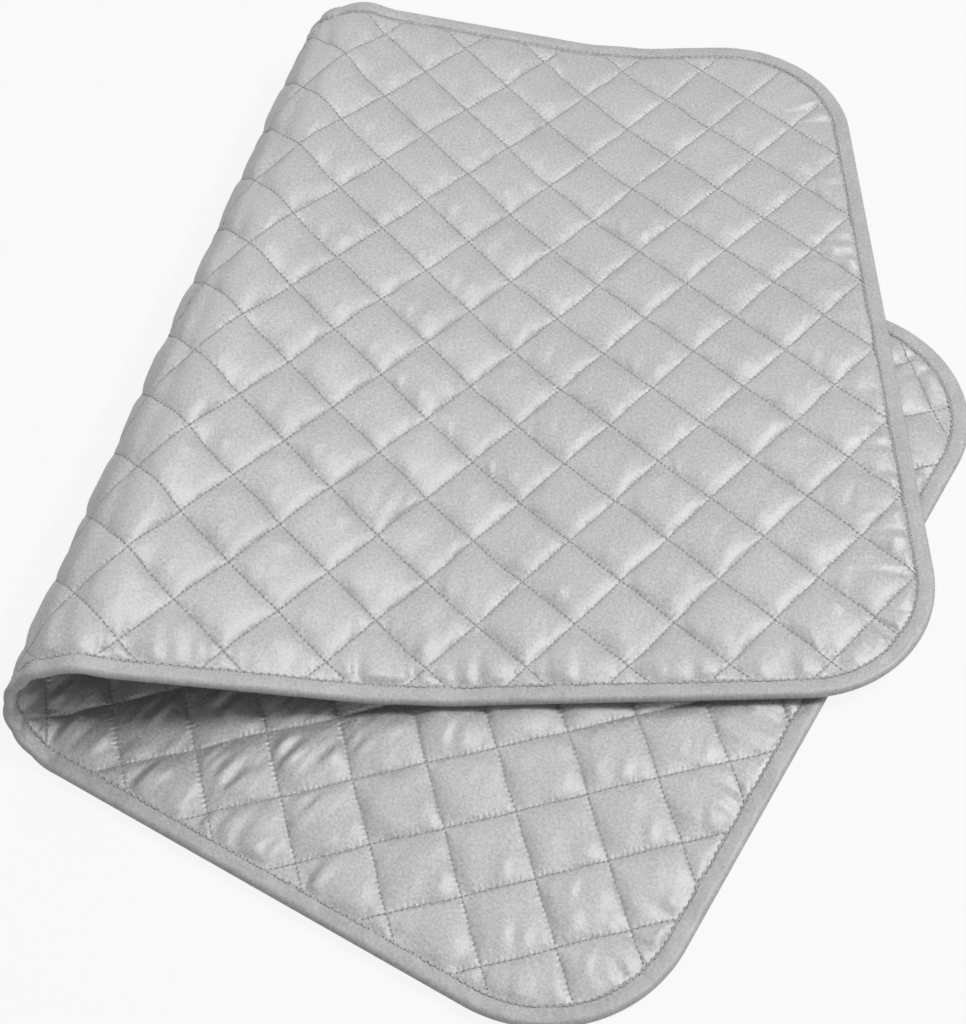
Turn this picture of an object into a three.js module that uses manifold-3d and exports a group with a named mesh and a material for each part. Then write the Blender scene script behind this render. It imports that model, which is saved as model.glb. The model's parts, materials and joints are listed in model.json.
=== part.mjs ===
// Quilted ironing pad, folded over once and lying on its lower leaf.
// Millimetres, +Z up. The pad is drawn open and flat with its outer face at z = 0, cut into two
// leaves and the strips of the fold between them, and then folded about lines that run along Y.
import * as THREE from 'three';
import { mergeVertices } from 'three/addons/utils/BufferGeometryUtils.js';
import Module from 'manifold-3d';

const wasm = await Module();
wasm.setup();

// Cut size of the open pad
const padLength = 850;
const padWidth = 475;
const cornerRadius = 75;

// Layers: two cloth covers, puffed up by the wadding between them and held down by the stitching
const crownThickness = 8.5;
const seamThickness = 3;
const coverThickness = 0.5;
const layerGap = 0.3;

// Quilting: two sets of stitch lines, square to each other and diagonal to the pad
const quiltPitch = 36;
const channelWidth = 20;
const quiltTurn = 225;
const quiltStartA = 15.8;
const quiltStartB = 4.1;

// Binding round the edge, and the stretch where the pad is drawn in beside it
const bindingWidth = 10;
const bindingThickness = 0.8;
const bindingRoll = 1.6;
const drawInWidth = 14;

// Fold: askew across the pad, a soft loop of strips, then a long slope down to the lower leaf
const foldSkew = 16;
const foldOffset = 3;
const foldHeight = 60;
const foldStrips = 5;
const landingSlope = 15;
const landingLength = 40;
const leafClearance = 0.5;
const hingeGap = 0.3;

// Facets
const cornerFacets = 8;
const rollFacets = 2;

const coverFinish = { color: 0xb9bcc0, roughness: 0.5, metalness: 0 };
const waddingFinish = { color: 0xf1efe9, roughness: 0.95, metalness: 0 };
const bindingFinish = { color: 0x96999d, roughness: 0.8, metalness: 0 };

const middle = crownThickness / 2;
const seamHalf = seamThickness / 2;
const coverBack = seamHalf - coverThickness;
const waddingHalf = coverBack - layerGap;
const bindingHalf = seamHalf + layerGap + bindingThickness;
const beyond = padLength + padWidth;
const overlap = 1;
const weldDistance = 1e-4;
const skew = THREE.MathUtils.degToRad(foldSkew);

// Each hinge of the fold turns by the same angle, and the two landing hinges share the slope
const foldTurn = THREE.MathUtils.degToRad(180 + landingSlope) / (foldStrips + 1);
const landingTurn = THREE.MathUtils.degToRad(landingSlope) / 2;

// Steps in the fold's section: along a strip, and from the outer face towards the inner one
function along(angle, length) {
  return new THREE.Vector2(-Math.cos(angle), Math.sin(angle)).multiplyScalar(length);
}

function inward(angle, depth) {
  return new THREE.Vector2(Math.sin(angle), Math.cos(angle)).multiplyScalar(depth);
}

// Strip length that brings the loop to its height, and slope length that brings it down again
function foldLengths() {
  let climb = 0;
  for (let k = 1; k <= foldStrips; k += 1) {
    climb += Math.sin(k * foldTurn);
  }
  const strip = foldHeight / climb;
  const slopeAngle = (foldStrips + 1) * foldTurn;
  const landingAngle = slopeAngle - landingTurn;
  const drop = foldHeight
    + inward(slopeAngle, crownThickness).y
    + along(landingAngle, landingLength).y
    - crownThickness - leafClearance;
  return { strip, slope: drop / -Math.sin(slopeAngle) };
}

const { strip: stripLength, slope: slopeLength } = foldLengths();

// Where the first hinge lies, so that the fold mirrors the pad about x = 0
function firstHinge() {
  const place = new THREE.Vector2();
  for (let k = 1; k <= foldStrips; k += 1) {
    place.add(along(k * foldTurn, stripLength));
  }
  const slopeAngle = (foldStrips + 1) * foldTurn;
  place.add(along(slopeAngle, slopeLength));
  place.add(inward(slopeAngle, crownThickness));
  place.add(along(slopeAngle - landingTurn, landingLength));
  const flatRun = foldStrips * stripLength + slopeLength + landingLength;
  return (flatRun - place.x) / 2;
}

function padOutline(inset) {
  const halfLength = padLength / 2 - inset;
  const halfWidth = padWidth / 2 - inset;
  const radius = cornerRadius - inset;
  const right = Math.PI / 2;
  const outline = new THREE.Shape();
  outline.absarc(halfLength - radius, halfWidth - radius, radius, 0, right);
  outline.absarc(radius - halfLength, halfWidth - radius, radius, right, 2 * right);
  outline.absarc(radius - halfLength, radius - halfWidth, radius, 2 * right, 3 * right);
  outline.absarc(halfLength - radius, radius - halfWidth, radius, 3 * right, 4 * right);
  return outline;
}

// A slab of the pad's outline, with rounded rims where it has a bevel
function outlineSlab(inset, wallHeight, rimWidth = 0, rimHeight = 0) {
  const slab = new THREE.ExtrudeGeometry(padOutline(inset + rimWidth), {
    depth: wallHeight,
    curveSegments: cornerFacets,
    bevelEnabled: rimWidth > 0,
    bevelSize: rimWidth,
    bevelThickness: rimHeight,
    bevelSegments: rollFacets,
  });
  slab.translate(0, 0, middle - wallHeight / 2);
  return layOnFold(slab);
}

function layOnFold(geometry) {
  geometry.translate(foldOffset, 0, 0);
  geometry.rotateZ(-skew);
  return geometry;
}

// A block with one face puffed between the stitch lines, and the other left clear of the pad
function quiltBlock(puffedSide) {
  const reach = Math.ceil(beyond / (2 * Math.SQRT2 * quiltPitch)) + 1;
  const row = 2 * reach + 1;
  const positions = [];
  const index = [];
  const place = (i, j, level) => {
    positions.push(i * quiltPitch + quiltStartA, j * quiltPitch + quiltStartB, middle + puffedSide * level);
    return positions.length / 3 - 1;
  };
  const addFace = (from, to, third) => {
    index.push(...(puffedSide > 0 ? [from, to, third] : [to, from, third]));
  };
  const seams = [];
  for (let n = 0; n < row * row; n += 1) {
    seams.push(place((n % row) - reach, Math.floor(n / row) - reach, seamHalf));
  }
  const slopeShare = channelWidth / 2 / quiltPitch;
  for (let n = 0; n < row * (row - 1); n += 1) {
    if (n % row < row - 1) {
      const i = (n % row) - reach;
      const j = Math.floor(n / row) - reach;
      const valley = [seams[n], seams[n + 1], seams[n + 1 + row], seams[n + row]];
      const crown = [
        place(i + slopeShare, j + slopeShare, middle),
        place(i + 1 - slopeShare, j + slopeShare, middle),
        place(i + 1 - slopeShare, j + 1 - slopeShare, middle),
        place(i + slopeShare, j + 1 - slopeShare, middle),
      ];
      for (let k = 0; k < 4; k += 1) {
        const next = (k + 1) % 4;
        addFace(valley[k], valley[next], crown[next]);
        addFace(valley[k], crown[next], crown[k]);
      }
      addFace(crown[0], crown[1], crown[2]);
      addFace(crown[0], crown[2], crown[3]);
    }
  }
  const last = row - 1;
  const rim = [];
  // The rim runs round the block's four sides
  for (let k = 0; k < 4 * last; k += 1) {
    const step = k % last;
    const sides = [step, last + step * row, row * row - 1 - step, row * (last - step)];
    rim.push(sides[Math.floor(k / last)]);
  }
  const back = rim.map((n) => place((n % row) - reach, Math.floor(n / row) - reach, -beyond));
  const backMiddle = place(0, 0, -beyond);
  rim.forEach((n, k) => {
    const next = (k + 1) % rim.length;
    addFace(back[k], back[next], seams[rim[next]]);
    addFace(back[k], seams[rim[next]], seams[n]);
    addFace(back[next], back[k], backMiddle);
  });
  const block = new THREE.BufferGeometry();
  block.setAttribute('position', new THREE.Float32BufferAttribute(positions, 3));
  block.setIndex(index);
  block.rotateZ(THREE.MathUtils.degToRad(quiltTurn));
  return layOnFold(block);
}

function solidOf(geometry) {
  const bare = geometry.clone();
  bare.deleteAttribute('normal');
  bare.deleteAttribute('uv');
  const welded = mergeVertices(bare, weldDistance);
  return new wasm.Manifold(new wasm.Mesh({
    numProp: 3,
    vertProperties: new Float32Array(welded.attributes.position.array),
    triVerts: new Uint32Array(welded.index.array),
  }));
}

function geometryOf(solid) {
  const mesh = solid.getMesh();
  const geometry = new THREE.BufferGeometry();
  geometry.setAttribute('position', new THREE.BufferAttribute(new Float32Array(mesh.vertProperties), 3));
  geometry.setIndex(new THREE.BufferAttribute(new Uint32Array(mesh.triVerts), 1));
  geometry.computeVertexNormals();
  return geometry;
}

// Both covers in one block: drawn-in sides, a thin flange for the binding, and one face puffed
function coverBlock(puffedSide) {
  const flange = outlineSlab(bindingThickness + layerGap, seamThickness);
  const rimHeight = middle + overlap - seamHalf;
  const pillow = outlineSlab(bindingWidth + layerGap, seamThickness, drawInWidth, rimHeight);
  return solidOf(pillow).add(solidOf(flange)).intersect(solidOf(quiltBlock(puffedSide)));
}

// The tape is folded over the edge, so its section is a channel that holds the flange
function bindingRing() {
  const tape = solidOf(outlineSlab(0, 2 * (bindingHalf - bindingRoll), bindingRoll, bindingRoll));
  const window = solidOf(outlineSlab(bindingWidth, 2 * crownThickness));
  const channel = solidOf(outlineSlab(bindingThickness, seamThickness + 2 * layerGap));
  return tape.subtract(window).subtract(channel);
}

// A leaf or strip's share of the open pad: between two hinge faces that lean away from the hinge
function segmentPrism(segment, low, high, front, back) {
  const faceAt = (hinge, level, side) => {
    const lean = hinge.sense * (level - hinge.level) * Math.tan(hinge.turn / 2);
    return hinge.x + side * (lean + hingeGap / 2);
  };
  const edgeAt = (hinge, level, side) => (hinge ? faceAt(hinge, level, side) : -side * beyond);
  const levels = [low, high];
  const right = levels.map((level) => edgeAt(segment.start, level, -1));
  const left = levels.map((level) => edgeAt(segment.end, level, 1));
  const section = new THREE.Shape([
    new THREE.Vector2(left[0], low),
    new THREE.Vector2(right[0], low),
    new THREE.Vector2(right[1], high),
    new THREE.Vector2(left[1], high),
  ]);
  const prism = new THREE.ExtrudeGeometry(section, { depth: back - front, bevelEnabled: false });
  prism.rotateX(Math.PI / 2);
  prism.translate(0, back, 0);
  return solidOf(prism);
}

function addPiece(group, name, solid, finish) {
  const mesh = new THREE.Mesh(geometryOf(solid), new THREE.MeshStandardMaterial(finish));
  mesh.name = name;
  mesh.position.copy(group.userData.flatOrigin).negate();
  group.add(mesh);
}

// The face that rests on something is level at the crown, and the other one is puffed
function addSegment(group, segment, puffedSide, covers, wadding, binding) {
  const low = puffedSide < 0 ? -overlap : 0;
  const high = puffedSide > 0 ? crownThickness + overlap : crownThickness;
  const outerShare = segmentPrism(segment, low, middle - coverBack, -beyond, beyond);
  const innerShare = segmentPrism(segment, middle + coverBack, high, -beyond, beyond);
  const fullShare = segmentPrism(segment, low, high, -beyond, beyond);
  addPiece(group, `${segment.name}_outer_cover`, covers.intersect(outerShare), coverFinish);
  addPiece(group, `${segment.name}_wadding`, wadding.intersect(fullShare), waddingFinish);
  addPiece(group, `${segment.name}_inner_cover`, covers.intersect(innerShare), coverFinish);
  if (segment.start && segment.end) {
    const axisY = -Math.tan(skew) * (segment.start.x + segment.end.x) / 2;
    const front = segmentPrism(segment, low, high, -beyond, axisY);
    const back = segmentPrism(segment, low, high, axisY, beyond);
    addPiece(group, `${segment.name}_front_binding`, binding.intersect(front), bindingFinish);
    addPiece(group, `${segment.name}_back_binding`, binding.intersect(back), bindingFinish);
  } else {
    addPiece(group, `${segment.name}_binding`, binding.intersect(fullShare), bindingFinish);
  }
}

// Hinges from the lower leaf to the upper one. Those of the loop turn on the outer face and those
// of the landing on the inner face, so the faces between strips part as the pad is opened.
function foldHinges() {
  const hinges = [];
  let x = firstHinge();
  for (let k = 0; k <= foldStrips; k += 1) {
    hinges.push({ x, level: 0, turn: foldTurn, sense: 1 });
    x -= k < foldStrips ? stripLength : slopeLength;
  }
  hinges.push({ x, level: crownThickness, turn: landingTurn, sense: -1 });
  hinges.push({ x: x - landingLength, level: crownThickness, turn: landingTurn, sense: -1 });
  return hinges;
}

function buildPad() {
  const hinges = foldHinges();
  const binding = bindingRing();
  const wadding = solidOf(outlineSlab(bindingThickness + layerGap, 2 * waddingHalf));
  const innerPuffed = coverBlock(1);
  const outerPuffed = coverBlock(-1);
  const pad = new THREE.Group();
  const lower = new THREE.Group();
  lower.userData.flatOrigin = new THREE.Vector3();
  pad.add(lower);
  addSegment(lower, { name: 'lower_leaf', end: hinges[0] }, 1, innerPuffed, wadding, binding);
  let parent = lower;
  const leafNames = ['slope', 'landing', 'upper_leaf'];
  hinges.forEach((hinge, k) => {
    const name = k < foldStrips ? `fold_${k + 1}` : leafNames[k - foldStrips];
    const group = new THREE.Group();
    group.name = `${name}_hinge`;
    group.userData.flatOrigin = new THREE.Vector3(hinge.x, 0, hinge.level);
    group.position.copy(group.userData.flatOrigin).sub(parent.userData.flatOrigin);
    group.rotation.y = hinge.sense * hinge.turn;
    addSegment(group, { name, start: hinge, end: hinges[k + 1] }, -1, outerPuffed, wadding, binding);
    parent.add(group);
    parent = group;
  });
  pad.updateMatrixWorld(true);
  const box = new THREE.Box3().setFromObject(pad, true);
  const centre = box.getCenter(new THREE.Vector3());
  pad.position.set(-centre.x, -centre.y, -box.min.z);
  pad.updateMatrixWorld(true);
  return pad;
}

export default buildPad();
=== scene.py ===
import json
import math

import bpy
import numpy as np
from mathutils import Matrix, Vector

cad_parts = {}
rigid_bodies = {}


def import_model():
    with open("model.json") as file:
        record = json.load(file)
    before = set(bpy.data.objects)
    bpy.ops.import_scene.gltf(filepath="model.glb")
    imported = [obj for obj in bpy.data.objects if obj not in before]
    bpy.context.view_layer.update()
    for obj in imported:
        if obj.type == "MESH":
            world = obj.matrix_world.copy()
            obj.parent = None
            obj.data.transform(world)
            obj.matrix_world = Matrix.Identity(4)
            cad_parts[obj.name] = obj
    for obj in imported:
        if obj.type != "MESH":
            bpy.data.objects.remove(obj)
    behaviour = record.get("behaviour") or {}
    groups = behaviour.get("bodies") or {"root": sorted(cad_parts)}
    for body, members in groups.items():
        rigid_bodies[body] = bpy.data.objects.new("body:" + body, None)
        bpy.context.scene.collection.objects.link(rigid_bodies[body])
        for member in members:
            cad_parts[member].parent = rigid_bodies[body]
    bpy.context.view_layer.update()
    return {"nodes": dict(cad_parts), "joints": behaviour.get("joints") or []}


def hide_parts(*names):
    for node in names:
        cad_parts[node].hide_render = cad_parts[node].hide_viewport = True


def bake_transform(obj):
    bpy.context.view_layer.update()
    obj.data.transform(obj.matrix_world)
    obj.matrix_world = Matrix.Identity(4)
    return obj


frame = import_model()
scene = bpy.context.scene
print("frame loaded:", len(frame["nodes"]), "solids")

# the open pad, as it is cut and sewn (metres)
padValues = {
    "length": 0.850,
    "width": 0.475,
    "cornerRadius": 0.075,
    "crown": 0.0085,               # thickness at the top of a puff
    "seam": 0.003,                 # thickness at the stitching
    "skew": math.radians(16),      # the fold lies askew across the pad
    "foldOffset": 0.003,           # from the middle of the pad to the fold
    "bindingWidth": 0.010,
}
padMiddle = padValues["crown"] / 2
seamHalf = padValues["seam"] / 2


# the fold: the CAD's hinges, rounded off between the middles of the strips
foldValues = {
    "topRounding": 0.026,          # how far the top of the loop stays round past its last hinge
    "landingRounding": 0.020,
    "evenness": 0.7,               # the loop bends evenly along its strips
}
pieceNames = ["lower_leaf", "fold_1", "fold_2", "fold_3", "fold_4", "fold_5", "slope", "upper_leaf"]


def smoothStep(t):
    t = np.clip(t, 0.0, 1.0)
    return t * t * (3 - 2 * t)


def sectionTurn(x, z, angle):
    cosine, sine = np.cos(angle), np.sin(angle)
    return x * cosine + z * sine, z * cosine - x * sine


def readHinges(joints):
    hinges = []
    turned = 0.0
    for joint in joints:
        x, _, z = joint["pos_m"]
        flatX, flatZ = x, z
        if hinges:                 # undo the turns so far to find the hinge on the open pad
            last = hinges[-1]
            stepX, stepZ = sectionTurn(x - last["x"], z - last["z"], -turned)
            flatX, flatZ = last["flatX"] + stepX, last["flatZ"] + stepZ
        angle = -joint["axis"][1] * math.radians(joint["range_deg"][1])
        hinges.append({
            "bodies": (joint["parent"], joint["child"]),
            "x": x, "z": z, "flatX": flatX, "flatZ": flatZ,
            "turned": turned, "angle": angle,
        })
        turned += angle
    return hinges


def roundHinges(hinges):
    halfStrip = (hinges[0]["flatX"] - hinges[1]["flatX"]) / 2
    for k, hinge in enumerate(hinges):
        before = after = halfStrip
        hinge["evenness"] = foldValues["evenness"]
        if k >= len(hinges) - 3:   # the hinges of the slope, the landing and the upper leaf
            hinge["evenness"] = 0.0
            after = foldValues["topRounding"]
        if k > len(hinges) - 3:
            before = after = foldValues["landingRounding"]
        hinge["start"] = hinge["flatX"] + before
        hinge["end"] = hinge["flatX"] - after


hinges = readHinges(frame["joints"])
roundHinges(hinges)
padX = (hinges[-1]["flatX"] + hinges[-1]["x"]) / 2      # the fold mirrors the pad about this line
padY = frame["joints"][0]["pos_m"][1]
foldMiddle = (hinges[0]["flatX"] + hinges[5]["flatX"]) / 2     # middle of the loop on the open pad


def foldPoints(flat):
    x, z = flat[..., 0], flat[..., 2]
    folded = flat.copy()
    for hinge in hinges:
        past = x < hinge["start"]
        along = np.clip((hinge["start"] - x[past]) / (hinge["start"] - hinge["end"]), 0, 1)
        share = smoothStep(along) + hinge["evenness"] * (along - smoothStep(along))
        turnX, turnZ = sectionTurn(
            x[past] - hinge["flatX"], z[past] - hinge["flatZ"], hinge["turned"] + share * hinge["angle"])
        folded[past, 0] = hinge["x"] + turnX
        folded[past, 2] = hinge["z"] + turnZ
    return folded


def ownerOf(x):
    passed = sum((x < hinge["start"]).astype(int) for hinge in hinges)
    return np.maximum(passed - 1, 0)


def padToFlat(u, v, level):
    along = u + padValues["foldOffset"]
    cosine, sine = math.cos(padValues["skew"]), math.sin(padValues["skew"])
    x = padX + along * cosine + v * sine
    y = padY - along * sine + v * cosine
    return np.stack([x, y, np.broadcast_to(level, x.shape)], axis=-1)


def edgeDepth(u, v):               # how far a point lies inside the pad's edge
    radius = padValues["cornerRadius"]
    sideU = np.abs(u) - padValues["length"] / 2 + radius
    sideV = np.abs(v) - padValues["width"] / 2 + radius
    corner = np.hypot(np.maximum(sideU, 0), np.maximum(sideV, 0))
    return radius - corner - np.minimum(np.maximum(sideU, sideV), 0)


def roundEdge(u, v):               # how far round the edge a point lies, from the middle of the nearer end
    radius = padValues["cornerRadius"]
    halfU, halfV = padValues["length"] / 2 - radius, padValues["width"] / 2 - radius
    pastU, pastV = np.abs(u) - halfU, np.abs(v) - halfV
    corner = halfV + radius * np.arctan2(np.maximum(pastV, 1e-6), np.maximum(pastU, 1e-6))
    side = halfV + radius * math.pi / 2 - pastU
    return np.where((pastU > 0) & (pastV > 0), corner, np.where(pastU > pastV, np.abs(v), side))


seeds = {
    "outer": 10, "inner": 60, "unrest": 21, "wander": 40,
    "tapeWander": 31, "tapePucker": 32, "tapeCrimp": 33,
}


def smoothNoise(x, y, seed):
    table = np.random.default_rng(seed).uniform(-1, 1, (256, 256))
    cellX, cellY = np.floor(x).astype(int), np.floor(y).astype(int)
    shareX, shareY = smoothStep(x - cellX), smoothStep(y - cellY)
    rows = [table[(cellX + i) & 255, cellY & 255] * (1 - shareY)
            + table[(cellX + i) & 255, (cellY + 1) & 255] * shareY for i in (0, 1)]
    return rows[0] * (1 - shareX) + rows[1] * shareX


print("fold read:", len(hinges), "hinges")


# the quilting: diamonds puffed up between two sets of stitch lines
quiltValues = {
    "pitch": 0.036,
    "turn": math.radians(225),
    "startA": 0.0158,
    "startB": 0.0041,
    "stepsPerPitch": 26,
    "crowding": 0.100,             # mesh lines crowd towards the stitching, to keep its creases sharp
    "drawIn": 0.016,               # the pad thins towards its binding over this
    "tuckedUnder": 0.005,          # the covers run this far in under the binding
    "unevenness": 0.14,
    "seamPucker": 0.00050,
    "seamPuckerReach": 0.0050,
    "seamPuckerStart": 0.0012,     # puckers begin this far from the stitching
    "seamPuckerSpacing": 0.0044,
    "seamPuckerDrift": 0.03,       # they come and go over this
    "seamPuckerRange": 0.6,
    "edgeGather": 0.0027,
    "edgeGatherReach": 0.014,
    "edgeGatherStart": 0.004,
    "edgeGatherSpacing": 0.0056,
    "edgeGatherBlend": 0.02,       # one end's gathers pass into the other's over this
    "edgeGatherDrift": 0.06,
    "edgeGatherMean": 0.7,
    "edgeGatherRange": 0.6,
    "seamWander": 0.0007,
    "seamWanderSize": 0.021,
    "seamWanderStart": 0.02,
    "squeezeReach": 0.300,         # how far the cloth inside the fold stays squeezed
    "squeezeEase": 1.3,
    "tautness": 0.40,              # the outer cover is stretched over the fold and its seams lie shallower
    "tautReach": 0.085,
    "tautFade": 0.05,
    "deepest": 0.0004,             # how far the cloth may sink below its stitching
}


def quiltToPad(a, b):
    along = a * quiltValues["pitch"] + quiltValues["startA"]
    across = b * quiltValues["pitch"] + quiltValues["startB"]
    cosine, sine = math.cos(quiltValues["turn"]), math.sin(quiltValues["turn"])
    return along * cosine - across * sine, along * sine + across * cosine


def quiltReach():                  # pitches from the middle of the pad to past its corners
    half = math.hypot(padValues["length"], padValues["width"]) / 2
    return math.ceil(half / quiltValues["pitch"]) + 1


def seamRipple(distance, along, line, seed):
    # each seam has its own row of noise
    ripple = smoothNoise(along / quiltValues["seamPuckerSpacing"], line * 3.7, seed)
    drift = smoothNoise(along / quiltValues["seamPuckerDrift"], line * 1.3, seed + 1)
    strength = quiltValues["seamPuckerRange"] + quiltValues["seamPuckerRange"] * drift
    start = 1 - np.exp(-distance / quiltValues["seamPuckerStart"])
    rise = np.exp(-distance / quiltValues["seamPuckerReach"]) * start
    return quiltValues["seamPucker"] * rise * ripple * strength


# the puffs: a patch of cover cloth, sewn down along its seams and blown up by the wadding
puffValues = {
    "cells": 6,
    "steps": 20,
    "frames": 28,
    "smooth": {
        "slackX": 0.080,
        "slackY": 0.020,
        "pressure": 2.0,
        "unrest": 0.030,
        "wrinkling": 1.7,
        "lean": 0.0,
    },
    "squeezed": {
        "slackX": 0.240,
        "slackY": 0.030,
        "pressure": 1.3,
        "unrest": 0.075,
        "wrinkling": 1.3,
        "lean": math.radians(-27),
    },
    "quality": 5,
    "mass": 0.1,
    "bending": 0.8,
    "roundness": 2.8,              # of the plain puffs that the cloth starts from
    "startHeight": 0.05,           # in pitches, as the next four are
    "unrestAcross": 0.13,          # size of the first ripples
    "unrestAlong": 0.45,
    "height": (padMiddle - seamHalf) / quiltValues["pitch"],
    "sideways": 0.08,              # the most that a point may move along the cover
    "flatness": 1.3,               # the wadding fills a puff out to a flat top
}


def plainPuffs(a, b):
    riseA, riseB = [1 - np.abs(1 - 2 * (c - np.floor(c))) ** puffValues["roundness"] for c in (a, b)]
    return riseA * riseB


def blowUpPatch(name, values):
    cells, steps = puffValues["cells"], puffValues["steps"]
    line = np.arange(cells * steps + 1) / steps
    a, b = np.meshgrid(line, line, indexing="ij")
    # the slack runs across the fold, or leans from that, and lies askew on the quilting
    slant = padValues["skew"] - quiltValues["turn"] + values["lean"]
    x, y = a * math.cos(slant) + b * math.sin(slant), b * math.cos(slant) - a * math.sin(slant)
    rise = plainPuffs(a, b)
    ripples = smoothNoise(x / puffValues["unrestAcross"], y / puffValues["unrestAlong"], seeds["unrest"])
    height = puffValues["startHeight"] * rise + values["unrest"] * ripples * rise
    start = np.stack([a, b, height], axis=-1)
    slackX, slackY = x * (1 + values["slackX"]), y * (1 + values["slackY"])
    cut = np.stack([slackX * math.cos(slant) - slackY * math.sin(slant),
                    slackX * math.sin(slant) + slackY * math.cos(slant), 0 * a], axis=-1)

    number = np.arange(a.size).reshape(a.shape)
    faces = np.stack([number[:-1, :-1], number[1:, :-1], number[1:, 1:], number[:-1, 1:]], axis=-1)
    mesh = bpy.data.meshes.new(name)
    mesh.from_pydata(start.reshape(-1, 3), [], faces.reshape(-1, 4))
    patch = bpy.data.objects.new(name, mesh)
    scene.collection.objects.link(patch)
    patch.shape_key_add(name="sewn")
    slack = patch.shape_key_add(name="cut")
    slack.data.foreach_set("co", cut.astype(np.float32).ravel())
    sewn = np.arange(len(line)) % steps == 0
    seams = patch.vertex_groups.new(name="seams")
    seams.add(number[sewn[:, None] | sewn[None, :]].tolist(), 1.0, "REPLACE")
    cloth = patch.modifiers.new("cover", "CLOTH")
    settings = cloth.settings
    settings.vertex_group_mass = "seams"
    settings.rest_shape_key = slack
    settings.quality = puffValues["quality"]
    settings.mass = puffValues["mass"]
    settings.bending_stiffness = puffValues["bending"]
    settings.use_pressure = True
    settings.uniform_pressure_force = values["pressure"]
    settings.effector_weights.gravity = 0
    cloth.point_cache.frame_end = puffValues["frames"]
    for shot in range(1, puffValues["frames"] + 1):
        scene.frame_set(shot)
    blown = patch.evaluated_get(bpy.context.evaluated_depsgraph_get()).to_mesh()
    points = np.empty(a.size * 3, dtype=np.float32)
    blown.vertices.foreach_get("co", points)
    bpy.data.objects.remove(patch)
    scene.frame_set(1)
    points = points.reshape(start.shape).astype(float)
    return patchCells(points, a, b, values["wrinkling"])


def patchCells(points, a, b, wrinkling):
    cells, steps = puffValues["cells"], puffValues["steps"]
    shift = points - np.stack([a, b, 0 * a], axis=-1)
    bank = np.stack([shift[i * steps:(i + 1) * steps + 1, j * steps:(j + 1) * steps + 1]
                     for i in range(cells) for j in range(cells)])
    dome = bank[..., 2].mean(axis=0)
    wrinkles = (bank[..., 2] - dome) * puffValues["height"] / dome.max()
    top = np.tanh(puffValues["flatness"] * dome / dome.max()) / np.tanh(puffValues["flatness"])
    bank[..., 2] = puffValues["height"] * top + wrinkling * wrinkles
    bank[..., :2] = np.clip(bank[..., :2], -puffValues["sideways"], puffValues["sideways"])
    return bank


smoothPuffs = blowUpPatch("smooth_patch", puffValues["smooth"])
squeezedPuffs = blowUpPatch("squeezed_patch", puffValues["squeezed"])
print("puffs blown up:", len(smoothPuffs) + len(squeezedPuffs))


def curveWeights(t):               # a smooth curve through four neighbouring points
    return [t * (t * (2 - t) - 1) / 2, (t * t * (3 * t - 5) + 2) / 2,
            t * (t * (4 - 3 * t) + 1) / 2, t * t * (t - 1) / 2]


def puffShift(bank, a, b, seed):
    random = np.random.default_rng(seed)
    choice = random.integers(0, len(bank), (64, 64))
    turned = random.integers(0, 2, (64, 64)) == 1
    strength = 1 + quiltValues["unevenness"] * random.uniform(-1, 1, (64, 64))
    cellA, cellB = np.floor(a).astype(int), np.floor(b).astype(int)
    mine = (cellA & 63, cellB & 63)
    turn = turned[mine]
    steps = puffValues["steps"]
    placeA = np.where(turn, 1 - (a - cellA), a - cellA) * steps
    placeB = np.where(turn, 1 - (b - cellB), b - cellB) * steps
    rowA, rowB = np.clip(placeA.astype(int), 0, steps - 1), np.clip(placeB.astype(int), 0, steps - 1)
    weightsA, weightsB = curveWeights(placeA - rowA), curveWeights(placeB - rowB)
    shift = np.zeros(a.shape + (3,))
    for i in range(4):
        for j in range(4):
            near = bank[choice[mine], np.clip(rowA + i - 1, 0, steps), np.clip(rowB + j - 1, 0, steps)]
            shift += (weightsA[i] * weightsB[j])[..., None] * near
    shift[..., :2] *= np.where(turn, -1, 1)[..., None]
    return shift * strength[mine][..., None]


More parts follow.
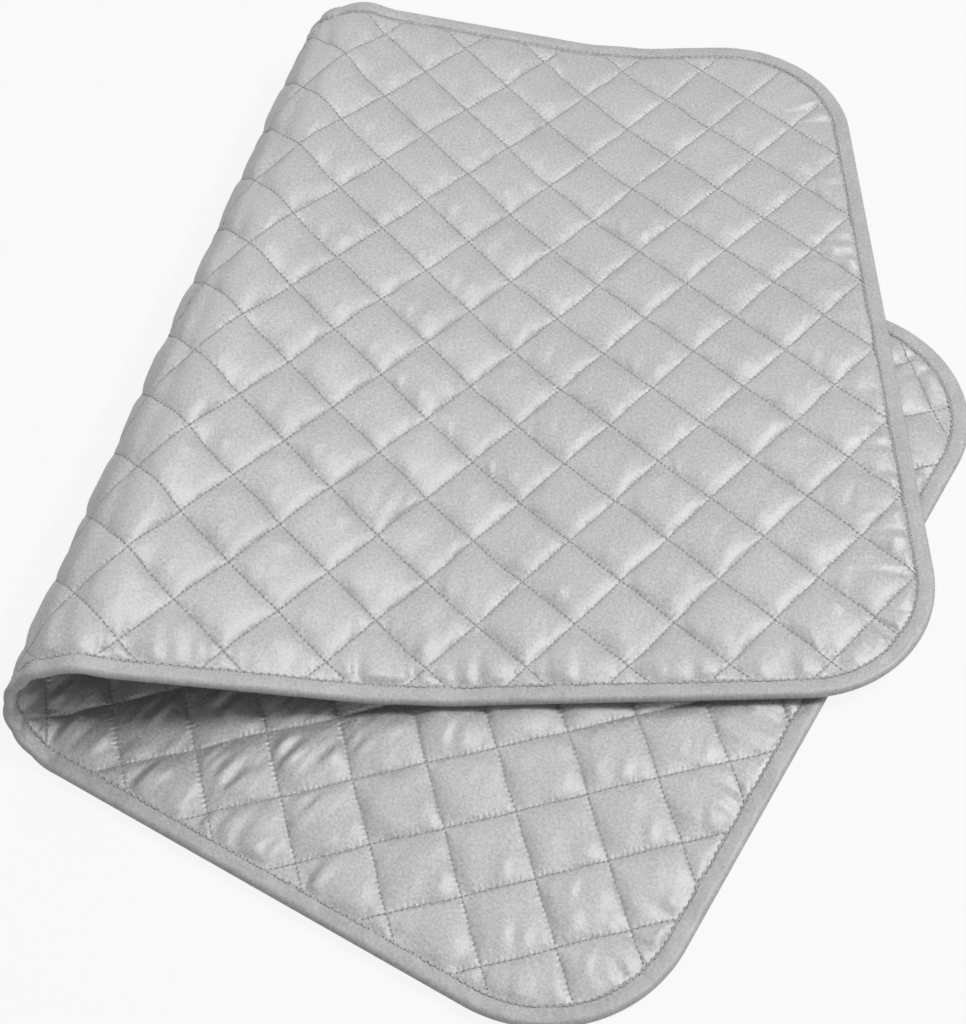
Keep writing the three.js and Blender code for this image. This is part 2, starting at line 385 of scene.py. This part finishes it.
def coverShape(a, b, side):
    pitch = quiltValues["pitch"]
    seed = seeds["outer"] if side < 0 else seeds["inner"]
    u, v = quiltToPad(a, b)
    flat = padToFlat(u, v, 0.0)
    shift = puffShift(smoothPuffs, a, b, seed)
    fromFold = np.abs(flat[..., 0] - foldMiddle)
    taut = 0.0
    if side > 0:                   # inside the fold the cloth is squeezed into wrinkles
        squeeze = smoothStep(quiltValues["squeezeEase"] * (1 - fromFold / quiltValues["squeezeReach"]))
        squeeze = squeeze[..., None]
        shift = shift * (1 - squeeze) + puffShift(squeezedPuffs, a, b, seed + 1) * squeeze
    else:
        taut = smoothStep((quiltValues["tautReach"] - fromFold) / quiltValues["tautFade"])
        taut = quiltValues["tautness"] * taut
        shift *= 1 - np.expand_dims(taut, -1)
    depth = edgeDepth(u, v) - padValues["bindingWidth"]
    drawn = np.clip(depth / quiltValues["drawIn"], 0, 1)
    drawn = np.sqrt(1 - (1 - drawn) ** 2)
    shift *= drawn[..., None]
    loft = shift[..., 2] * pitch + drawn * taut * (padMiddle - seamHalf)

    distanceA = np.abs(a - np.round(a)) * pitch
    distanceB = np.abs(b - np.round(b)) * pitch
    loft += drawn * seamRipple(distanceA, b * pitch, np.round(a), seed + 2)
    loft += drawn * seamRipple(distanceB, a * pitch, np.round(b), seed + 4)

    # gathers square to the binding, with a row of noise for each side of the pad
    around = roundEdge(u, v) / quiltValues["edgeGatherSpacing"]
    row = 20 + 3 * np.clip(u / quiltValues["edgeGatherBlend"], -1, 1) + 9 * np.sign(v)
    gather = smoothNoise(around, row, seed + 8)
    drift = smoothNoise(u / quiltValues["edgeGatherDrift"], v / quiltValues["edgeGatherDrift"], seed + 9)
    strength = quiltValues["edgeGatherMean"] + quiltValues["edgeGatherRange"] * drift
    near = np.exp(-np.maximum(depth, 0) / quiltValues["edgeGatherReach"])
    near = near * np.clip(depth / quiltValues["edgeGatherStart"], 0, 1)
    loft += quiltValues["edgeGather"] * gather * near * strength

    wander = quiltValues["seamWander"] * np.clip(depth / quiltValues["seamWanderStart"], 0, 1)
    size = quiltValues["seamWanderSize"]
    wanderU, wanderV = [wander * smoothNoise(u / size, v / size, seeds["wander"] + axis) for axis in (0, 1)]
    u, v = quiltToPad(a + shift[..., 0], b + shift[..., 1])
    return u + wanderU, v + wanderV, seamHalf + np.maximum(loft, -quiltValues["deepest"])


def makeMesh(name, points, faces, normals, uv):
    mesh = bpy.data.meshes.new(name)
    mesh.from_pydata(points, [], faces, shade_flat=False)
    layer = mesh.uv_layers.new(name="cloth")
    corners = np.empty(len(mesh.loops), dtype=np.int32)
    mesh.loops.foreach_get("vertex_index", corners)
    layer.data.foreach_set("uv", uv[corners].astype(np.float32).ravel())
    if normals is not None:
        mesh.normals_split_custom_set_from_vertices(normals)
    made = bpy.data.objects.new(name, mesh)
    scene.collection.objects.link(made)
    return made


def gridNormals(points, side):
    alongFirst = np.gradient(points, axis=0)
    alongSecond = np.gradient(points, axis=1)
    normals = np.cross(alongFirst, alongSecond) * side
    return normals / np.maximum(np.linalg.norm(normals, axis=-1, keepdims=True), 1e-12)


def coverGrid(side, coarse):
    steps = quiltValues["stepsPerPitch"] // (2 if coarse else 1)
    reach = quiltReach()
    line = np.arange(-reach * steps, reach * steps + 1) / steps
    line = line - quiltValues["crowding"] * np.sin(2 * math.pi * line)
    a, b = np.meshgrid(line, line, indexing="ij")
    u, v = quiltToPad(a, b)
    inside = edgeDepth(u, v) > quiltValues["tuckedUnder"]
    whole = inside[:-1, :-1] & inside[1:, :-1] & inside[1:, 1:] & inside[:-1, 1:]
    # cells are shared out in the coarse grid's squares, so that fine and coarse pieces meet
    block = 1 if coarse else 2
    centre = np.repeat((line[:-1:block] + line[block::block]) / 2, block)
    centreU, centreV = quiltToPad(*np.meshgrid(centre, centre, indexing="ij"))
    owner = ownerOf(padToFlat(centreU, centreV, 0.0)[..., 0])
    uv = np.stack([u, v], axis=-1)
    u, v, loft = coverShape(a, b, side)
    points = foldPoints(padToFlat(u, v, padMiddle + side * loft))
    return {"points": points, "normals": gridNormals(points, side), "whole": whole, "owner": owner,
            "uv": uv, "side": side}


def gridPiece(grid, k):
    rows, columns = np.nonzero(grid["whole"] & (grid["owner"] == k))
    width = grid["points"].shape[1]
    first = rows * width + columns
    faces = np.stack([first, first + width, first + width + 1, first + 1], axis=1)
    if grid["side"] < 0:
        faces = faces[:, ::-1]
    used, faces = np.unique(faces, return_inverse=True)
    return {
        "points": grid["points"].reshape(-1, 3)[used],
        "normals": grid["normals"].reshape(-1, 3)[used],
        "uv": grid["uv"].reshape(-1, 2)[used],
        "faces": faces.reshape(-1, 4),
    }


def bendPiece(piece, k):
    hinge = hinges[k]
    ends = np.array([[hinge["start"], padY, padMiddle], [hinge["end"], padY, padMiddle]])
    start, end = foldPoints(ends)
    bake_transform(piece)


def nodesOf(k, *endings):
    bodies = [pieceNames[k]] + (["landing"] if pieceNames[k] == "slope" else [])
    nodes = [node for body in bodies for node in frame["nodes"] if node.startswith(body + "_")]
    return [node for node in nodes if node.endswith(endings)]


quilts = []
outerFine, outerCoarse = coverGrid(-1, False), coverGrid(-1, True)
innerFine, innerCoarse = coverGrid(1, False), coverGrid(1, True)
for k, name in enumerate(pieceNames):
    outerGrid = outerCoarse if name == "lower_leaf" else outerFine
    innerGrid = innerCoarse if name in ("slope", "upper_leaf") else innerFine
    sides = [("outer", outerGrid, ("_outer_cover", "_wadding")), ("inner", innerGrid, ("_inner_cover",))]
    for sideName, grid, endings in sides:
        part = gridPiece(grid, k)
        quilt = makeMesh(f"{sideName}_quilt_{name}", **part)
        bendPiece(quilt, k)
        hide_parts(*nodesOf(k, *endings))
        quilts.append(quilt)
print("quilted covers:", sum(len(quilt.data.polygons) for quilt in quilts), "faces")


# the binding: a tape folded over the edge, rolled where it turns
bindingValues = {
    "roll": 0.0028,                # radius of the turn at the edge
    "rollHalf": 0.0027,            # half thickness at the roll
    "innerHalf": 0.0024,           # half thickness at the tape's inner edge
    "cut": 0.025,                  # width of the tape before it is folded over the edge
    "stitchInset": 0.0088,
    "stitchSpacing": 0.0040,
    "stitchLength": 0.0030,
    "scallop": 0.00035,            # how far each stitch draws the tape's inner edge in
    "pull": 0.0004,                # how deep the stitches pull the tape down
    "pullWidth": 0.0011,
    "taper": 1.6,
    "tuck": 0.0012,                # the inner edge turns down onto the cover by this
    "step": 0.0010,
    "rings": 12,                   # mesh lines across each face of the tape
    "ringCrowding": 1.7,           # they crowd towards the roll
    "wander": 0.0005,
    "wanderLength": 0.012,
    "pucker": 0.00035,
    "puckerLength": 0.0062,
    "puckerWidth": 0.004,
    "foldPucker": 0.0009,          # more of it inside the fold
    "foldReach": 0.05,
    "foldFade": 0.03,
    "crimp": 0.00014,
    "crimpLength": 0.0027,
    "crimpWidth": 0.0022,
    "calm": 0.004,                 # the roll itself stays smooth up to here
}


def edgePath(step):
    radius = padValues["cornerRadius"]
    halfU = padValues["length"] / 2 - radius
    halfV = padValues["width"] / 2 - radius
    points = []
    for quarter in range(4):       # each side, then the corner after it
        half, away = (halfU, halfV) if quarter % 2 == 0 else (halfV, halfU)
        turn = quarter * math.pi / 2
        for share in np.arange(0, 1, step / (2 * half)):
            points.append((half * (2 * share - 1), -away, -math.pi / 2, turn))
        for share in np.arange(0, 1, step / (radius * math.pi / 2)):
            points.append((half, -away, (share - 1) * math.pi / 2, turn))
    along, across, facing, turn = np.array(points).T
    outward = np.stack([np.cos(facing + turn), np.sin(facing + turn)], axis=-1)
    centre = np.stack([along * np.cos(turn) - across * np.sin(turn),
                       along * np.sin(turn) + across * np.cos(turn)], axis=-1)
    edge = np.concatenate([centre + radius * outward, outward], axis=-1)
    return np.concatenate([edge, edge[:1]])


edgeLine = edgePath(bindingValues["step"])
edgeLengths = np.concatenate([[0], np.cumsum(np.hypot(*np.diff(edgeLine[:, :2], axis=0).T))])


def edgeAt(places):                # point on the edge and the way out from it, by length along the edge
    found = np.stack([np.interp(places, edgeLengths, column) for column in edgeLine.T], axis=-1)
    return found[:, :2], found[:, 2:] / np.linalg.norm(found[:, 2:], axis=-1, keepdims=True)


def tapeHalf(inset):
    roll = bindingValues["roll"]
    rise = np.sqrt(np.clip(1 - (1 - np.minimum(inset, roll) / roll) ** 2, 0, 1))
    flat = np.clip((inset - roll) / (padValues["bindingWidth"] - roll), 0, 1)
    fromRow = (inset - bindingValues["stitchInset"]) / bindingValues["pullWidth"]
    pulled = bindingValues["pull"] * np.exp(-fromRow ** 2)
    thinner = bindingValues["innerHalf"] - bindingValues["rollHalf"]
    half = bindingValues["rollHalf"] + thinner * flat ** bindingValues["taper"]
    return rise * half - pulled


def bindingPoints(edge, outward, inset, side, lift=0.0):
    u = edge[:, 0] - outward[:, 0] * inset
    v = edge[:, 1] - outward[:, 1] * inset
    return u, v, padMiddle + side * (tapeHalf(inset) + lift)


def tapeNoise(along, length, row, seed):
    return smoothNoise(along / bindingValues[length], np.full(len(along), row), seeds[seed])


def makeBinding():
    width = padValues["bindingWidth"]
    along = np.linspace(0, edgeLengths[-1], round(edgeLengths[-1] / bindingValues["step"]), endpoint=False)
    edge, outward = edgeAt(along)
    shares = np.linspace(0, 1, bindingValues["rings"]) ** bindingValues["ringCrowding"]
    sections = [(-1, width, -bindingValues["tuck"])]
    sections += [(-1, width * share, 0.0) for share in shares[::-1]]
    sections += [(1, width * share, 0.0) for share in shares[1:]]
    sections += [(1, width, -bindingValues["tuck"])]
    fromFold = np.abs(padToFlat(edge[:, 0], edge[:, 1], 0.0)[:, 0] - foldMiddle)
    inFold = smoothStep((bindingValues["foldReach"] - fromFold) / bindingValues["foldFade"])
    scallop = bindingValues["scallop"] * np.cos(2 * math.pi * along / bindingValues["stitchSpacing"])
    columns, uvs = [], []
    for side, inset, lift in sections:
        # each face of the tape has its own rows of noise
        wander = tapeNoise(along, "wanderLength", side * 5.3, "tapeWander")
        puckerRow = inset / bindingValues["puckerWidth"] + side * 9.1
        crimpRow = inset / bindingValues["crimpWidth"] + side * 4.7
        ripple = tapeNoise(along, "puckerLength", puckerRow, "tapePucker")
        crimp = tapeNoise(along, "crimpLength", crimpRow, "tapeCrimp")
        insets = inset + (bindingValues["wander"] * wander + scallop) * (inset / width) ** 4
        u, v, level = bindingPoints(edge, outward, insets, side, lift)
        pucker = bindingValues["pucker"] + (bindingValues["foldPucker"] * inFold if side > 0 else 0)
        uneven = pucker * ripple + bindingValues["crimp"] * crimp
        level = level + side * uneven * min(1, inset / bindingValues["calm"])
        level = level + side * scallop * (inset / width) ** 6
        columns.append(padToFlat(u, v, level))
        uvs.append(np.stack([along, np.full(len(along), side * inset)], axis=-1))
    flat = np.stack(columns, axis=1)
    flat = np.concatenate([flat, flat[:1]])
    uv = np.stack(uvs, axis=1)
    uv = np.concatenate([uv, uv[:1] + [edgeLengths[-1], 0]])
    points = foldPoints(flat)
    normals = gridNormals(points, 1)
    normals[0] = normals[-1] = (normals[0] + normals[-1]) / 2
    centres = (flat[:-1, :-1, 0] + flat[1:, 1:, 0]) / 2
    owner = np.broadcast_to(ownerOf(centres.mean(axis=1))[:, None], centres.shape)
    return {"points": points, "normals": normals, "whole": np.ones(centres.shape, bool), "owner": owner,
            "uv": uv, "side": 1}


bindings = []
bindingGrid = makeBinding()
for k, name in enumerate(pieceNames):
    part = gridPiece(bindingGrid, k)
    tape = makeMesh(f"binding_{name}", **part)
    bendPiece(tape, k)
    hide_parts(*nodesOf(k, "_binding"))
    edgeRun = np.count_nonzero(bindingGrid["owner"][:, 0] == k) * bindingValues["step"]
    bindings.append(tape)
print("binding:", sum(len(tape.data.polygons) for tape in bindings), "faces")


# the stitches: one short thread each, along the quilting and round the binding
stitchValues = {
    "spacing": 0.0028,
    "length": 0.0022,
    "width": 0.00055,
    "height": 0.00045,
    "lift": 0.00012,
    "clearance": 0.002,            # quilting stitches stop this far from the binding
}

# corners of one stitch, as shares of its length, width and height
stitchEnds = [(-0.5, 0, -0.6), (0.5, 0, -0.6)]
stitchRing = [(0.5, 0), (0, 0.5), (-0.5, 0), (0, -0.5)]
stitchSides = [(1, 2, 6, 5), (2, 3, 7, 6), (3, 4, 8, 7), (4, 1, 5, 8)]
stitchCaps = [(0, 2, 1), (0, 3, 2), (0, 4, 3), (0, 1, 4), (9, 5, 6), (9, 6, 7), (9, 7, 8), (9, 8, 5)]


def stitchRow(u, v, level, directionU, directionV, side, length):
    width, height = stitchValues["width"], stitchValues["height"]
    middle = [(share, across, up) for share in (-0.3, 0.3) for across, up in stitchRing]
    shape = stitchEnds[:1] + middle + stitchEnds[1:]
    corners = []
    for share, across, up in shape:
        cornerU = u + directionU * share * length - directionV * across * width
        cornerV = v + directionV * share * length + directionU * across * width
        corners.append(padToFlat(cornerU, cornerV, level + side * up * height))
    return np.stack(corners, axis=1)


def quiltStitches(side):
    pitch, spacing = quiltValues["pitch"], stitchValues["spacing"]
    reach = quiltReach()
    count = int(2 * reach * pitch / spacing)
    along = (np.arange(count) + 0.5) * spacing / pitch - reach
    rows = []
    for family in (0, 1):
        lines, places = np.meshgrid(np.arange(-reach, reach + 1.0), along)
        a, b = (lines, places) if family == 0 else (places, lines)
        a, b = a.ravel(), b.ravel()
        u, v = quiltToPad(a, b)
        keep = edgeDepth(u, v) > padValues["bindingWidth"] + stitchValues["clearance"]
        angle = quiltValues["turn"] + (math.pi / 2 if family == 0 else 0)
        u, v, loft = coverShape(a[keep], b[keep], side)
        level = padMiddle + side * (loft + stitchValues["lift"])
        rows.append(stitchRow(u, v, level, math.cos(angle), math.sin(angle), side, stitchValues["length"]))
    return np.concatenate(rows)


def bindingStitches(side):
    spacing = bindingValues["stitchSpacing"]
    edge, outward = edgeAt((np.arange(int(edgeLengths[-1] / spacing)) + 0.5) * spacing)
    u, v, level = bindingPoints(edge, outward, bindingValues["stitchInset"], side, stitchValues["lift"])
    return stitchRow(u, v, level, -outward[:, 1], outward[:, 0], side, bindingValues["stitchLength"])


def stitchPiece(flat, k):
    mine = flat[ownerOf(flat[..., 0].mean(axis=1)) == k]
    start = np.arange(len(mine))[:, None, None] * flat.shape[1]
    sides = (start + np.array(stitchSides)).reshape(-1, 4)
    caps = (start + np.array(stitchCaps)).reshape(-1, 3)
    return foldPoints(mine).reshape(-1, 3), sides.tolist() + caps.tolist()


threads = []
stitchFlat = np.concatenate([quiltStitches(-1), quiltStitches(1), bindingStitches(-1), bindingStitches(1)])
for k, name in enumerate(pieceNames):
    points, faces = stitchPiece(stitchFlat, k)
    thread = makeMesh(f"stitching_{name}", points, faces, None, points[:, :2])
    bendPiece(thread, k)
    threads.append(thread)
print("stitches:", len(stitchFlat))


# sockets with arithmetic, so that shader maths reads as plain expressions
class Wire:
    def __init__(self, tree, socket=None):
        self.tree = tree
        self.socket = socket

    def node(self, kind, output=0, settings=None, **inputs):
        made = self.tree.nodes.new(kind)
        for key, value in (settings or {}).items():
            setattr(made, key, value)
        for key, value in inputs.items():
            self.feed(made.inputs[int(key[2:]) if key.startswith("in") else key], value)
        return Wire(self.tree, made.outputs[output] if len(made.outputs) else None)

    def feed(self, socket, value):
        if isinstance(value, Wire):
            self.tree.links.new(value.socket, socket)
        else:
            socket.default_value = value

    def maths(self, operation, first, second):
        sockets = [value.socket.type for value in (first, second) if isinstance(value, Wire)]
        kind = "ShaderNodeVectorMath" if "VECTOR" in sockets else "ShaderNodeMath"
        if kind == "ShaderNodeVectorMath":
            first, second = [value if isinstance(value, Wire) or hasattr(value, "__len__") else (value,) * 3
                             for value in (first, second)]
        return self.node(kind, settings={"operation": operation}, in0=first, in1=second)

    def __add__(self, other):
        return self.maths("ADD", self, other)

    def __radd__(self, other):
        return self.maths("ADD", other, self)

    def __sub__(self, other):
        return self.maths("SUBTRACT", self, other)

    def __rsub__(self, other):
        return self.maths("SUBTRACT", other, self)

    def __mul__(self, other):
        return self.maths("MULTIPLY", self, other)

    def __rmul__(self, other):
        return self.maths("MULTIPLY", other, self)

    def mixed(self, first, second):
        return self.node("ShaderNodeMix", 2, {"data_type": "RGBA"}, in0=self, in6=first, in7=second)

    def between(self, start, end, kind="LINEAR", low=0.0):     # from low at start to 1 at end
        ends = {"From Min": start, "From Max": end, "To Min": low}
        return self.node("ShaderNodeMapRange", settings={"interpolation_type": kind}, Value=self, **ends)

    def split(self):
        made = self.node("ShaderNodeSeparateXYZ", Vector=self).socket.node
        return [Wire(self.tree, made.outputs[axis]) for axis in "XY"]


def newMaterial(name):
    material = bpy.data.materials.new(name)
    material.use_nodes = True
    material.node_tree.nodes.clear()
    return material, Wire(material.node_tree)


def clothPlace(start):             # where a point lies on the cloth, in metres
    return start.node("ShaderNodeUVMap", settings={"uv_map": "cloth"})


def noiseOn(start, vector, scale, detail=2.0, roughness=0.5):
    return start.node("ShaderNodeTexNoise", settings={"noise_dimensions": "2D"}, Vector=vector, Scale=scale,
                      Detail=detail, Roughness=roughness)


# what the covers and the tape have in common
weaveValues = {
    "stretch": 0.55,               # how long the threads show
    "detail": 3.0,
    "roughness": 0.75,
    "gain": 0.7,
    "drop": 0.2,
    "speckFrom": 0.30,
    "speckTo": 0.70,
    "cloudDetail": 3.0,
    "cloudRoughness": 0.55,
    "holeWidth": 0.0006,
    "holeCore": 0.0002,
    "holeDepth": 0.0007,
    "bumpStrength": 0.8,
    # painted shade, darkening the seams' creases and the needle holes
    "seamShade": (0.20, 0.20, 0.20, 1),
}


def weaveOn(start, place, scale):  # short threads lying both ways across the cloth
    stretch, detail, roughness = [weaveValues[key] for key in ("stretch", "detail", "roughness")]
    warp = noiseOn(start, place * (1.0, stretch, 1.0), scale, detail, roughness)
    weft = noiseOn(start, place * (stretch, 1.0, 1.0), scale, detail, roughness)
    return (warp + weft) * weaveValues["gain"] - weaveValues["drop"]


def toneOn(start, place, speck, values):
    detail, roughness = weaveValues["cloudDetail"], weaveValues["cloudRoughness"]
    cloud = noiseOn(start, place, values["cloudScale"], detail, roughness)
    tone = speck * (1 - values["cloudShare"]) + cloud * values["cloudShare"]
    return tone.mixed(values["shade"], values["light"])


# where a needle hole lies; its painted shade and its dent are laid on from this
def needleHole(start, across, along):
    spot = start.maths("SQRT", across * across + along * along, 0.0)
    return spot.between(weaveValues["holeWidth"], weaveValues["holeCore"], "SMOOTHSTEP")


def bumpOn(start, height, depth, **under):
    strength = weaveValues["bumpStrength"]
    return start.node("ShaderNodeBump", Strength=strength, Distance=depth, Height=height, **under)


def finishCloth(start, values, colour, speck, bump):
    roughness = speck * values["roughnessRange"] + (values["roughness"] - values["roughnessRange"] / 2)
    cloth = start.node("ShaderNodeBsdfPrincipled", Roughness=roughness, Metallic=values["metallic"],
                       Normal=bump, **{"Base Color": colour})
    start.node("ShaderNodeOutputMaterial", Surface=cloth)


coverValues = {
    "shade": (0.420, 0.420, 0.422, 1),
    "light": (0.800, 0.800, 0.802, 1),
    "roughness": 0.50,
    "roughnessRange": 0.14,
    "metallic": 0.27,
    "grainScale": 850.0,
    "grainDepth": 0.00024,
    "cloudScale": 22.0,
    "cloudShare": 0.3,
    "seamWidth": 0.0005,
    "seamLine": 0.22,              # how dark the painted shade in the seams' creases and needle holes is
    "seamHoles": 0.80,
    "seamShare": 0.60,
    "scallopReach": 0.0040,        # the cloth draws up between stitches this far from a seam
    "scallopDepth": 0.0006,
    "scallopScale": 190.0,
    "scallopFrom": 0.40,
    "scallopTo": 0.75,
}


def quiltCoordinates(start, place):     # the quilting's own coordinates, in pitches
    turned = start.node("ShaderNodeVectorRotate", settings={"rotation_type": "Z_AXIS"}, Vector=place,
                        Angle=-quiltValues["turn"])
    shifted = turned - (quiltValues["startA"], quiltValues["startB"], 0.0)
    return [part * (1 / quiltValues["pitch"]) for part in shifted.split()]


def seamShadeMask(start, across, along):
    # painted shade: needle holes darkened as if in shade, joined by a thin line of painted shade along the
    # seam's crease, and the cloth drawn up between them
    pitch, spacing = quiltValues["pitch"], stitchValues["spacing"]
    distance = start.maths("PINGPONG", across, 0.5) * pitch
    hole = start.maths("PINGPONG", along * (pitch / spacing) + 0.5, 0.5) * spacing
    line = distance.between(coverValues["seamWidth"], 0.0, "SMOOTHSTEP")
    pit = needleHole(start, distance, hole)
    near = distance.between(coverValues["scallopReach"], 0.0, "SMOOTHSTEP")
    mask = start.maths("MAXIMUM", line * coverValues["seamLine"], pit * coverValues["seamHoles"])
    return mask, near * hole * (2 / spacing)


def makeCoverCloth():
    material, start = newMaterial("silver_quilt_cloth")
    place = clothPlace(start)
    grain = weaveOn(start, place, coverValues["grainScale"])
    speck = grain.between(weaveValues["speckFrom"], weaveValues["speckTo"])
    a, b = quiltCoordinates(start, place)
    # the seams' painted shade, and the cloth drawn up beside them
    (paintedShadeA, scallopA), (paintedShadeB, scallopB) = seamShadeMask(start, a, b), seamShadeMask(start, b, a)
    seams = start.maths("MAXIMUM", paintedShadeA, paintedShadeB)
    colour = toneOn(start, place, speck, coverValues)
    # painted shade along the seams' creases and in the needle holes
    colour = (seams * coverValues["seamShare"]).mixed(colour, weaveValues["seamShade"])
    uneven = noiseOn(start, place, coverValues["scallopScale"])
    uneven = uneven.between(coverValues["scallopFrom"], coverValues["scallopTo"])
    drawn = start.maths("MAXIMUM", scallopA, scallopB) * uneven
    bump = bumpOn(start, 1 - seams, weaveValues["holeDepth"])
    bump = bumpOn(start, drawn, coverValues["scallopDepth"], Normal=bump)
    bump = bumpOn(start, grain, coverValues["grainDepth"], Normal=bump)
    finishCloth(start, coverValues, colour, speck, bump)
    return material


tapeValues = {
    "shade": (0.400, 0.400, 0.402, 1),
    "light": (0.780, 0.780, 0.782, 1),
    "roughness": 0.58,
    "roughnessRange": 0.12,
    "metallic": 0.20,
    "grainScale": 850.0,
    "grainDepth": 0.00024,
    "cloudScale": 60.0,
    "cloudShare": 0.4,
    # how strongly painted shade darkens the tape's needle holes
    "holeShare": 0.8,
}


def makeTapeCloth():
    material, start = newMaterial("grey_binding_tape")
    place = clothPlace(start)
    grain = weaveOn(start, place, tapeValues["grainScale"])
    speck = grain.between(weaveValues["speckFrom"], weaveValues["speckTo"])
    along, across = place.split()
    fromRow = start.maths("ABSOLUTE", across, 0.0) - bindingValues["stitchInset"]
    pit = needleHole(start, fromRow, start.maths("PINGPONG", along, bindingValues["stitchSpacing"] / 2))
    colour = toneOn(start, place, speck, tapeValues)
    # painted shade in the tape's needle holes
    colour = (pit * tapeValues["holeShare"]).mixed(colour, weaveValues["seamShade"])
    bump = bumpOn(start, 1 - pit, weaveValues["holeDepth"])
    bump = bumpOn(start, grain, tapeValues["grainDepth"], Normal=bump)
    finishCloth(start, tapeValues, colour, speck, bump)
    return material


threadValues = {
    "shade": (0.54, 0.543, 0.55, 1),
    "light": (0.72, 0.724, 0.73, 1),
    "grainScale": 700.0,
    "grainDetail": 2.0,
    "grainRoughness": 0.6,
    "roughness": 0.5,
    "roughnessRange": 0.2,
}


def makeThread():
    material, start = newMaterial("grey_sewing_thread")
    tone = noiseOn(start, clothPlace(start), threadValues["grainScale"], threadValues["grainDetail"],
                   threadValues["grainRoughness"])
    colour = tone.mixed(threadValues["shade"], threadValues["light"])
    roughness = tone * threadValues["roughnessRange"] + threadValues["roughness"]
    thread = start.node("ShaderNodeBsdfPrincipled", Roughness=roughness, **{"Base Color": colour})
    start.node("ShaderNodeOutputMaterial", Surface=thread)
    return material


coverCloth, tapeCloth, sewingThread = makeCoverCloth(), makeTapeCloth(), makeThread()
for pieces, material in ((quilts, coverCloth), (bindings, tapeCloth), (threads, sewingThread)):
    for piece in pieces:
        piece.data.materials.append(material)
print("materials made")


# floor, light and camera
floorValues = {
    "size": 30.0,
    "drop": 0.0014,
    "paper": (0.78, 0.78, 0.78, 1),
    "paperLight": (0.82, 0.82, 0.82, 1),
    "lift": 0.90,                  # how far the floor shows as plain white to the camera, near the pad
    "nearby": 0.45,
    "faraway": 1.60,               # from here on the floor is all white and meets the background
    "roughness": 0.9,
    "cloudScale": 3.0,
}


def seenShare(start):              # 1 where the camera sees the background, also in gloss or through glass
    rays = ("Is Camera Ray", "Is Glossy Ray", "Is Transmission Ray")
    seen, glossy, through = [start.node("ShaderNodeLightPath", output=ray) for ray in rays]
    return seen + glossy + through


def makeFloor():
    half = floorValues["size"] / 2
    corners = [(-half, -half), (half, -half), (half, half), (-half, half)]
    points = np.array([(x, y, -floorValues["drop"]) for x, y in corners])
    floor = makeMesh("floor", points, [(0, 1, 2, 3)], None, points[:, :2])
    material, start = newMaterial("white_floor")
    place = clothPlace(start)
    away = start.node("ShaderNodeVectorMath", "Value", {"operation": "LENGTH"}, in0=place)
    lift = away.between(floorValues["nearby"], floorValues["faraway"], "SMOOTHSTEP", floorValues["lift"])
    cloud = noiseOn(start, place, floorValues["cloudScale"])
    colour = cloud.mixed(floorValues["paper"], floorValues["paperLight"])
    paper = start.node("ShaderNodeBsdfPrincipled", Roughness=floorValues["roughness"],
                       **{"Base Color": colour})
    white = start.node("ShaderNodeEmission", Color=(1, 1, 1, 1), Strength=1.0)
    shown = start.node("ShaderNodeMixShader", Fac=seenShare(start) * lift, in1=paper, in2=white)
    start.node("ShaderNodeOutputMaterial", Surface=shown)
    floor.data.materials.append(material)


lightValues = {
    "key": {"place": (1.18, 0.35, 2.05), "size": 0.8, "power": 29.0},
    "fill": {"place": (-1.20, 1.20, 1.90), "size": 2.2, "power": 12.5},
    "sky": 0.04,
}


def addLamp(name, place, size, power):
    lamp = bpy.data.lights.new(name, "AREA")
    lamp.shape = "DISK"
    lamp.size = size
    lamp.energy = power
    holder = bpy.data.objects.new(name, lamp)
    holder.location = place
    holder.rotation_euler = (-Vector(place)).to_track_quat("-Z", "Y").to_euler()
    scene.collection.objects.link(holder)


def makeLight():
    for name in ("key", "fill"):
        addLamp(f"{name}_light", **lightValues[name])
    world = bpy.data.worlds.new("studio")
    world.use_nodes = True
    scene.world = world
    world.node_tree.nodes.clear()
    start = Wire(world.node_tree)
    sky = start.node("ShaderNodeBackground", Color=(1, 1, 1, 1), Strength=lightValues["sky"])
    white = start.node("ShaderNodeBackground", Color=(1, 1, 1, 1), Strength=1.0)
    shown = start.node("ShaderNodeMixShader", Fac=seenShare(start), in1=sky, in2=white)
    start.node("ShaderNodeOutputWorld", Surface=shown)


cameraValues = {
    "place": (0.1261, -0.6435, 0.8549),
    "direction": (-0.1457, 0.5619, -0.8143),
    "lens": 68.7,
    "sensor": 36.0,
    "clip": 0.01,
}


def makeCamera():
    camera = bpy.data.cameras.new("photo_camera")
    camera.lens = cameraValues["lens"]
    camera.sensor_width = cameraValues["sensor"]
    camera.clip_start = cameraValues["clip"]
    holder = bpy.data.objects.new("photo_camera", camera)
    holder.location = cameraValues["place"]
    holder.rotation_euler = Vector(cameraValues["direction"]).to_track_quat("-Z", "Y").to_euler()
    scene.collection.objects.link(holder)
    scene.camera = holder


makeFloor()
makeLight()
makeCamera()
scene.view_settings.view_transform = "Standard"
print("stage set")
